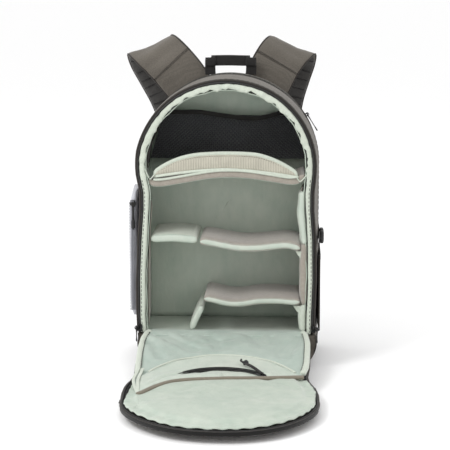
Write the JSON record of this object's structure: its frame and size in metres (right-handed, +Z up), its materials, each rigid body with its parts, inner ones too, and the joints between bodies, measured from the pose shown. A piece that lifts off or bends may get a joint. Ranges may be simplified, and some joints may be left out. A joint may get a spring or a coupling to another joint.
{
  "type": "camera backpack",
  "caption": "Upright camera backpack with arched body, unzipped front panel laid open, padded dividers, laptop sleeve, side pockets, grab handle and shoulder straps.",
  "frame": {"origin": "on the ground, under the middle of the gusset", "axes": "+Z up, +Y towards the wearer's back, +X to the right of someone facing the open side"},
  "size_m": [0.3533, 0.6861, 0.5509],
  "materials": {
    "outer_fabric": "woven taupe nylon, matt",
    "lining": "smooth sage nylon lining, slight sheen",
    "foam_pad": "foam faced with knit",
    "divider_fleece": "brushed fleece with sage edging",
    "mesh": "black mesh",
    "webbing": "black ribbed webbing",
    "zip_tape": "black coil zip",
    "pocket_grey": "light grey nylon, matt",
    "moulding": "moulded black nylon, satin",
    "pull_end": "soft black rubber",
    "slider_metal": "black lacquered zinc",
    "frame_plastic": "plain plastic sheet"
  },
  "bodies": {
    "bag": {"gusset_fabric": "outer_fabric", "base_fabric": "outer_fabric", "base_pad": "foam_pad", "front_lip_panel": "outer_fabric", "gusset_foam_sides": "foam_pad", "gusset_foam_top": "foam_pad", "camera_lining": "lining", "divider_wall": "lining", "frame_sheet": "frame_plastic", "back_panel": "outer_fabric", "back_pads": "foam_pad", "lumbar_pad": "foam_pad", "strap_yoke": "outer_fabric", "main_zip_body": "zip_tape", "opening_binding": "lining", "mesh_pocket": "mesh", "laptop_zip": "zip_tape", "side_pocket": "pocket_grey", "side_pocket_zip": "zip_tape", "bottle_pocket": "mesh", "compression_strap": "webbing", "buckle_socket": "moulding", "lower_anchors": "webbing"},
    "panel_lower": {"panel_lower_foam": "lining", "panel_lower_fabric": "outer_fabric", "panel_lower_zip": "zip_tape", "inner_pocket": "lining", "inner_pocket_zip": "zip_tape"},
    "panel_upper": {"panel_lining": "lining", "panel_foam": "foam_pad", "panel_fabric": "outer_fabric", "panel_zip": "zip_tape", "front_pocket": "outer_fabric", "front_pocket_zip": "zip_tape"},
    "inner_slider": {"inner_pocket_slider": "slider_metal"},
    "inner_pull": {"inner_pocket_pull": "pull_end"},
    "front_pocket_slider": {"front_pocket_slider": "slider_metal"},
    "slider_right": {"zip_slider_right": "slider_metal"},
    "pull_right": {"zip_pull_right": "pull_end"},
    "slider_left": {"zip_slider_left": "slider_metal"},
    "pull_left": {"zip_pull_left": "pull_end"},
    "laptop_slider": {"laptop_zip_slider": "slider_metal"},
    "laptop_pull": {"laptop_zip_pull": "pull_end"},
    "side_slider": {"side_pocket_slider": "slider_metal"},
    "side_pull": {"side_pocket_pull": "pull_end"},
    "buckle_plug": {"buckle_plug": "moulding"},
    "handle": {"grab_handle": "webbing"},
    "strap_right": {"shoulder_strap_right": "outer_fabric", "ladder_lock_right": "moulding", "strap_webbing_right": "webbing"},
    "strap_left": {"shoulder_strap_left": "outer_fabric", "ladder_lock_left": "moulding", "strap_webbing_left": "webbing"},
    "shelf": {"shelf": "divider_fleece"},
    "flap": {"shelf_flap": "divider_fleece"},
    "divider_mid_left": {"divider_mid_left": "divider_fleece"},
    "divider_mid_right": {"divider_mid_right": "divider_fleece"},
    "divider_low_right": {"divider_low_right": "divider_fleece"},
    "divider_upright": {"divider_upright": "divider_fleece"}
  },
  "joints": [
    {"name": "front_panel_hinge", "type": "hinge", "parent": "bag", "child": "panel_lower", "pos_m": [0, -0.084, 0.058], "axis": [-1, 0, 0], "range_deg": [0, 100.24]},
    {"name": "front_panel_fold", "type": "hinge", "parent": "panel_lower", "child": "panel_upper", "pos_m": [0, -0.26113, 0.026], "axis": [-1, 0, 0], "range_deg": [-10.25, 0]},
    {"name": "inner_pocket_zip", "type": "hinge", "parent": "panel_lower", "child": "inner_slider", "pos_m": [0, -0.3497, 0.01], "axis": [0, -0.1778, 0.9841], "range_deg": [0, 61.2]},
    {"name": "inner_pocket_pull", "type": "hinge", "parent": "inner_slider", "child": "inner_pull", "pos_m": [0.07179, -0.23142, 0.03137], "axis": [0, -0.1778, 0.9841], "range_deg": [-60, 60]},
    {"name": "front_pocket_zip", "type": "slide", "parent": "panel_upper", "child": "front_pocket_slider", "axis": [1, 0, 0], "range_m": [0, 0.155]},
    {"name": "main_zip_right", "type": "slide", "parent": "bag", "child": "slider_right", "axis": [0, 0, 1], "range_m": [0, 0.262]},
    {"name": "main_pull_right", "type": "hinge", "parent": "slider_right", "child": "pull_right", "pos_m": [0.1584, -0.0845, 0.067], "axis": [0, -1, 0], "range_deg": [0, 165]},
    {"name": "main_zip_left", "type": "slide", "parent": "bag", "child": "slider_left", "axis": [0, 0, 1], "range_m": [0, 0.262]},
    {"name": "main_pull_left", "type": "hinge", "parent": "slider_left", "child": "pull_left", "pos_m": [-0.1584, -0.0845, 0.067], "axis": [0, 1, 0], "range_deg": [0, 165]},
    {"name": "laptop_zip", "type": "hinge", "parent": "bag", "child": "laptop_slider", "pos_m": [0, 0.0625, 0.335], "axis": [0, 1, 0], "range_deg": [-116, 0]},
    {"name": "laptop_pull", "type": "hinge", "parent": "laptop_slider", "child": "laptop_pull", "pos_m": [0.13543, 0.0625, 0.41963], "axis": [0, -1, 0], "range_deg": [0, 150]},
    {"name": "side_pocket_zip", "type": "slide", "parent": "bag", "child": "side_slider", "axis": [0, 0, 1], "range_m": [-0.18, 0]},
    {"name": "side_pocket_pull", "type": "hinge", "parent": "side_slider", "child": "side_pull", "pos_m": [-0.1603, -0.0661, 0.278], "axis": [-1, 0, 0], "range_deg": [0, 150]},
    {"name": "buckle_release", "type": "slide", "parent": "bag", "child": "buckle_plug", "axis": [0, -1, 0], "range_m": [0, 0.014]},
    {"name": "grab_handle", "type": "hinge", "parent": "bag", "child": "handle", "pos_m": [0, 0.081, 0.4885], "axis": [-1, 0, 0], "range_deg": [-60, 5]},
    {"name": "shoulder_strap_right", "type": "hinge", "parent": "bag", "child": "strap_right", "pos_m": [0.0737, 0.0992, 0.492], "axis": [0.895, 0, -0.446], "range_deg": [0, 25]},
    {"name": "shoulder_strap_left", "type": "hinge", "parent": "bag", "child": "strap_left", "pos_m": [-0.096, 0.0992, 0.492], "axis": [0.895, 0, 0.446], "range_deg": [0, 25]},
    {"name": "shelf_slide", "type": "slide", "parent": "bag", "child": "shelf", "axis": [0, 1, 0], "range_m": [-0.12, 0]},
    {"name": "shelf_flap", "type": "hinge", "parent": "shelf", "child": "flap", "pos_m": [0, -0.0735, 0.3372], "axis": [-1, 0, 0], "range_deg": [-90, 30]},
    {"name": "divider_mid_left_slide", "type": "slide", "parent": "bag", "child": "divider_mid_left", "axis": [0, 1, 0], "range_m": [-0.12, 0]},
    {"name": "divider_mid_right_slide", "type": "slide", "parent": "bag", "child": "divider_mid_right", "axis": [0, 1, 0], "range_m": [-0.12, 0]},
    {"name": "divider_low_right_slide", "type": "slide", "parent": "bag", "child": "divider_low_right", "axis": [0, 1, 0], "range_m": [-0.12, 0]},
    {"name": "divider_upright_slide", "type": "slide", "parent": "bag", "child": "divider_upright", "axis": [0, 1, 0], "range_m": [-0.12, 0]}
  ],
  "couplings": [
    {"joint": "front_panel_fold", "follows": "front_panel_hinge", "ratio": -0.10216}
  ]
}
